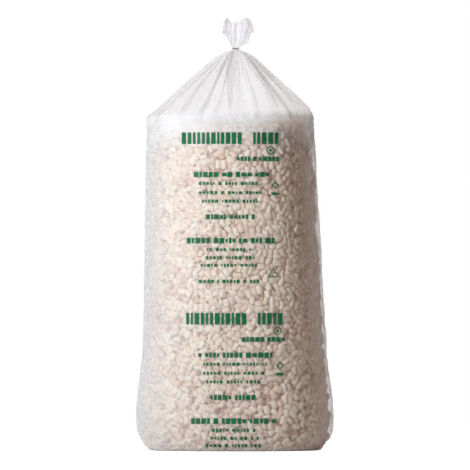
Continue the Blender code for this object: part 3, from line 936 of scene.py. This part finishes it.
ink_chance = np.random.default_rng(77)
for down, aside in ((0, 0), (179, 4.5)):
    bar_row(182 + aside, 243 + aside, 139 + down, 11.5, 3.4, 1.5, ink_chance, even=True)
    bar_row(253 + aside, 278 + aside, 139 + down, 11.5, 3.4, 1.5, ink_chance, even=True)
    loop_mark(270 + aside * 1.6, 151 + down, 20, 4.0, 3.0)
    loop_mark(270 + aside * 1.6, 151 + down, 12, 1.5, 0.1)
    bar_row(237 + aside, 280 + aside, 159.5 + down, 4.6, 3.4, 0.9, ink_chance)
    bar_row(194 + aside, 270 + aside, 175 + down, 5.2, 3.6, 1.1, ink_chance)
    for py, px0, px1 in ((184, 199, 262), (193, 199, 261), (201.5, 202, 257)):
        bar_row(px0 + aside, px1 + aside, py + down, 3.2, 2.2, 1.2, ink_chance)
    loop_mark(275 + aside, 185.5 + down, 4, 4.0, 2.4)
    bar(271 + aside, 279 + aside, 194 + down, 2.6)
    bar_row(206 + aside, 255 + aside, 217 + down, 5.0, 3.2, 1.1, ink_chance)
    bar_row(187 + aside, 274 + aside, 240.5 + down, 5.6, 3.8, 1.1, ink_chance)
    for py, px0, px1 in ((249.5, 207, 253), (257.5, 206, 254), (265, 201, 258)):
        if py + down < 446:
            bar_row(px0 + aside, px1 + aside, py + down, 3.2, 2.2, 1.2, ink_chance)
    if not down:
        loop_mark(273, 273.5, 3, 6.2, 4.4)
        bar_row(199, 259, 281, 3.4, 2.4, 1.1, ink_chance)

ink = new_object("front_print", ink_points, ink_faces)
ink_material, shader, node, link = material("green ink")
place = node("ShaderNodeTexCoord").outputs["Object"]
wear = node("ShaderNodeTexNoise", {"Vector": place, "Scale": 260.0, "Detail": 2.0})
link(graded(node, wear.outputs["Fac"], 0.25, 0.5, 0.72, 0.95), shader.inputs["Alpha"])
shader.inputs["Base Color"].default_value = (0.002, 0.145, 0.050, 1)
shader.inputs["Roughness"].default_value = 0.42
shader.inputs["Specular IOR Level"].default_value = 0.15
ink.data.materials.append(ink_material)
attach(ink, "root")

# Wire tie: black annealed wire, two turns and a twist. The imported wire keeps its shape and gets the
# scaly satin surface of such wire.

wire_material, shader, node, link = material("annealed wire")
place = node("ShaderNodeTexCoord").outputs["Object"]
scale = node("ShaderNodeTexNoise", {"Vector": place, "Scale": 900.0, "Detail": 3.0})
tone = node("ShaderNodeValToRGB", {"Fac": scale.outputs["Fac"]})
tone.color_ramp.elements[0].color = (0.018, 0.018, 0.020, 1)
tone.color_ramp.elements[1].color = (0.075, 0.070, 0.068, 1)
link(tone.outputs["Color"], shader.inputs["Base Color"])
shader.inputs["Metallic"].default_value = 0.8
link(graded(node, scale.outputs["Fac"], 0, 1, 0.32, 0.58), shader.inputs["Roughness"])
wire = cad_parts["wire_tie"]
for holder in wire.material_slots:
    holder.material = wire_material

# Studio: a pale matt floor under a white surround. Soft lamps stand in front on the left, overhead, at the
# left side and behind, with a weak warm one on the right. The camera looks level from far off.

FRAME_PX = 470
floor_points = [(-9, -26, 0), (9, -26, 0), (9, 5, 0), (-9, 5, 0)]
floor = new_object("floor", floor_points, [(0, 1, 2, 3)], smooth=False)
floor_material, shader, node, link = material("pale floor")
place = node("ShaderNodeTexCoord").outputs["Object"]
grain = node("ShaderNodeTexNoise", {"Vector": place, "Scale": 30.0, "Detail": 3.0})
link(graded(node, grain.outputs["Fac"], 0, 1, 0.88, 0.92), shader.inputs["Base Color"])
shader.inputs["Roughness"].default_value = 0.9
shader.inputs["Specular IOR Level"].default_value = 0.1
seen = node("ShaderNodeLightPath").outputs["Is Camera Ray"]
shader.inputs["Emission Color"].default_value = (1, 1, 1, 1)
link(reckon(node, "MULTIPLY", seen, 0.87), shader.inputs["Emission Strength"])
floor.data.materials.append(floor_material)

world = bpy.data.worlds.new("studio")
bpy.context.scene.world = world
world.use_nodes = True
node = node_adder(world.node_tree)
ray = node("ShaderNodeLightPath").outputs
white = reckon(node, "MAXIMUM", ray["Is Camera Ray"], ray["Is Transmission Ray"])
white = reckon(node, "MAXIMUM", white, ray["Is Glossy Ray"])
level = node("ShaderNodeMix", {0: white, 6: (0.124, 0.101, 0.086, 1), 7: (1, 1, 1, 1)}, data_type="RGBA")
world.node_tree.links.new(level.outputs[2], world.node_tree.nodes["Background"].inputs["Color"])


def soft_light(name, place, aim, size, power, colour=(1, 1, 1), matt=1.0, gloss=1.0):
    """A large rectangular lamp; matt and gloss say how much of it matt and glossy surfaces take."""
    lamp = bpy.data.lights.new(name, "AREA")
    lamp.shape = "RECTANGLE"
    lamp.size, lamp.size_y = size
    lamp.energy = power
    lamp.color = colour
    lamp.diffuse_factor = matt
    lamp.specular_factor = gloss
    thing = bpy.data.objects.new(name, lamp)
    thing.location = place
    thing.rotation_euler = (Vector(aim) - Vector(place)).to_track_quat("-Z", "Y").to_euler()
    bpy.context.scene.collection.objects.link(thing)


soft_light("key", (-1.72, -2.6, 1.7), (0, 0, 0.8), (1.0, 1.4), 71, (0.91, 0.96, 1.0))
soft_light("top", (-0.5, -0.5, 3.8), (0, 0, 1.6), (1.6, 1.4), 27)
soft_light("side", (-2.6, -0.2, 1.1), (0, 0, 0.9), (1.6, 1.9), 11, (0.94, 0.95, 1.0), matt=0.08)
soft_light("fill", (2.7, -0.6, 1.2), (0, 0, 0.9), (1.2, 2.0), 3.3, (1.0, 0.58, 0.40), gloss=0.2)
soft_light("back", (0.5, 3.3, 1.5), (0, 0, 0.8), (1.8, 1.8), 42, (1.0, 0.98, 0.95), gloss=0.3)

camera_data = bpy.data.cameras.new("camera")
camera = bpy.data.objects.new("camera", camera_data)
bpy.context.scene.collection.objects.link(camera)
distance = 40.0
sensor = 36
camera.location = (0.002, -distance, 0.903)
camera.rotation_euler = (math.pi / 2, 0, 0)
camera_data.sensor_width = sensor
camera_data.lens = sensor * distance / (FRAME_PX * PIXEL)
camera_data.clip_end = 200
bpy.context.scene.camera = camera
bpy.context.scene.view_settings.view_transform = "Standard"
bpy.context.scene.cycles.transparent_max_bounces = 32
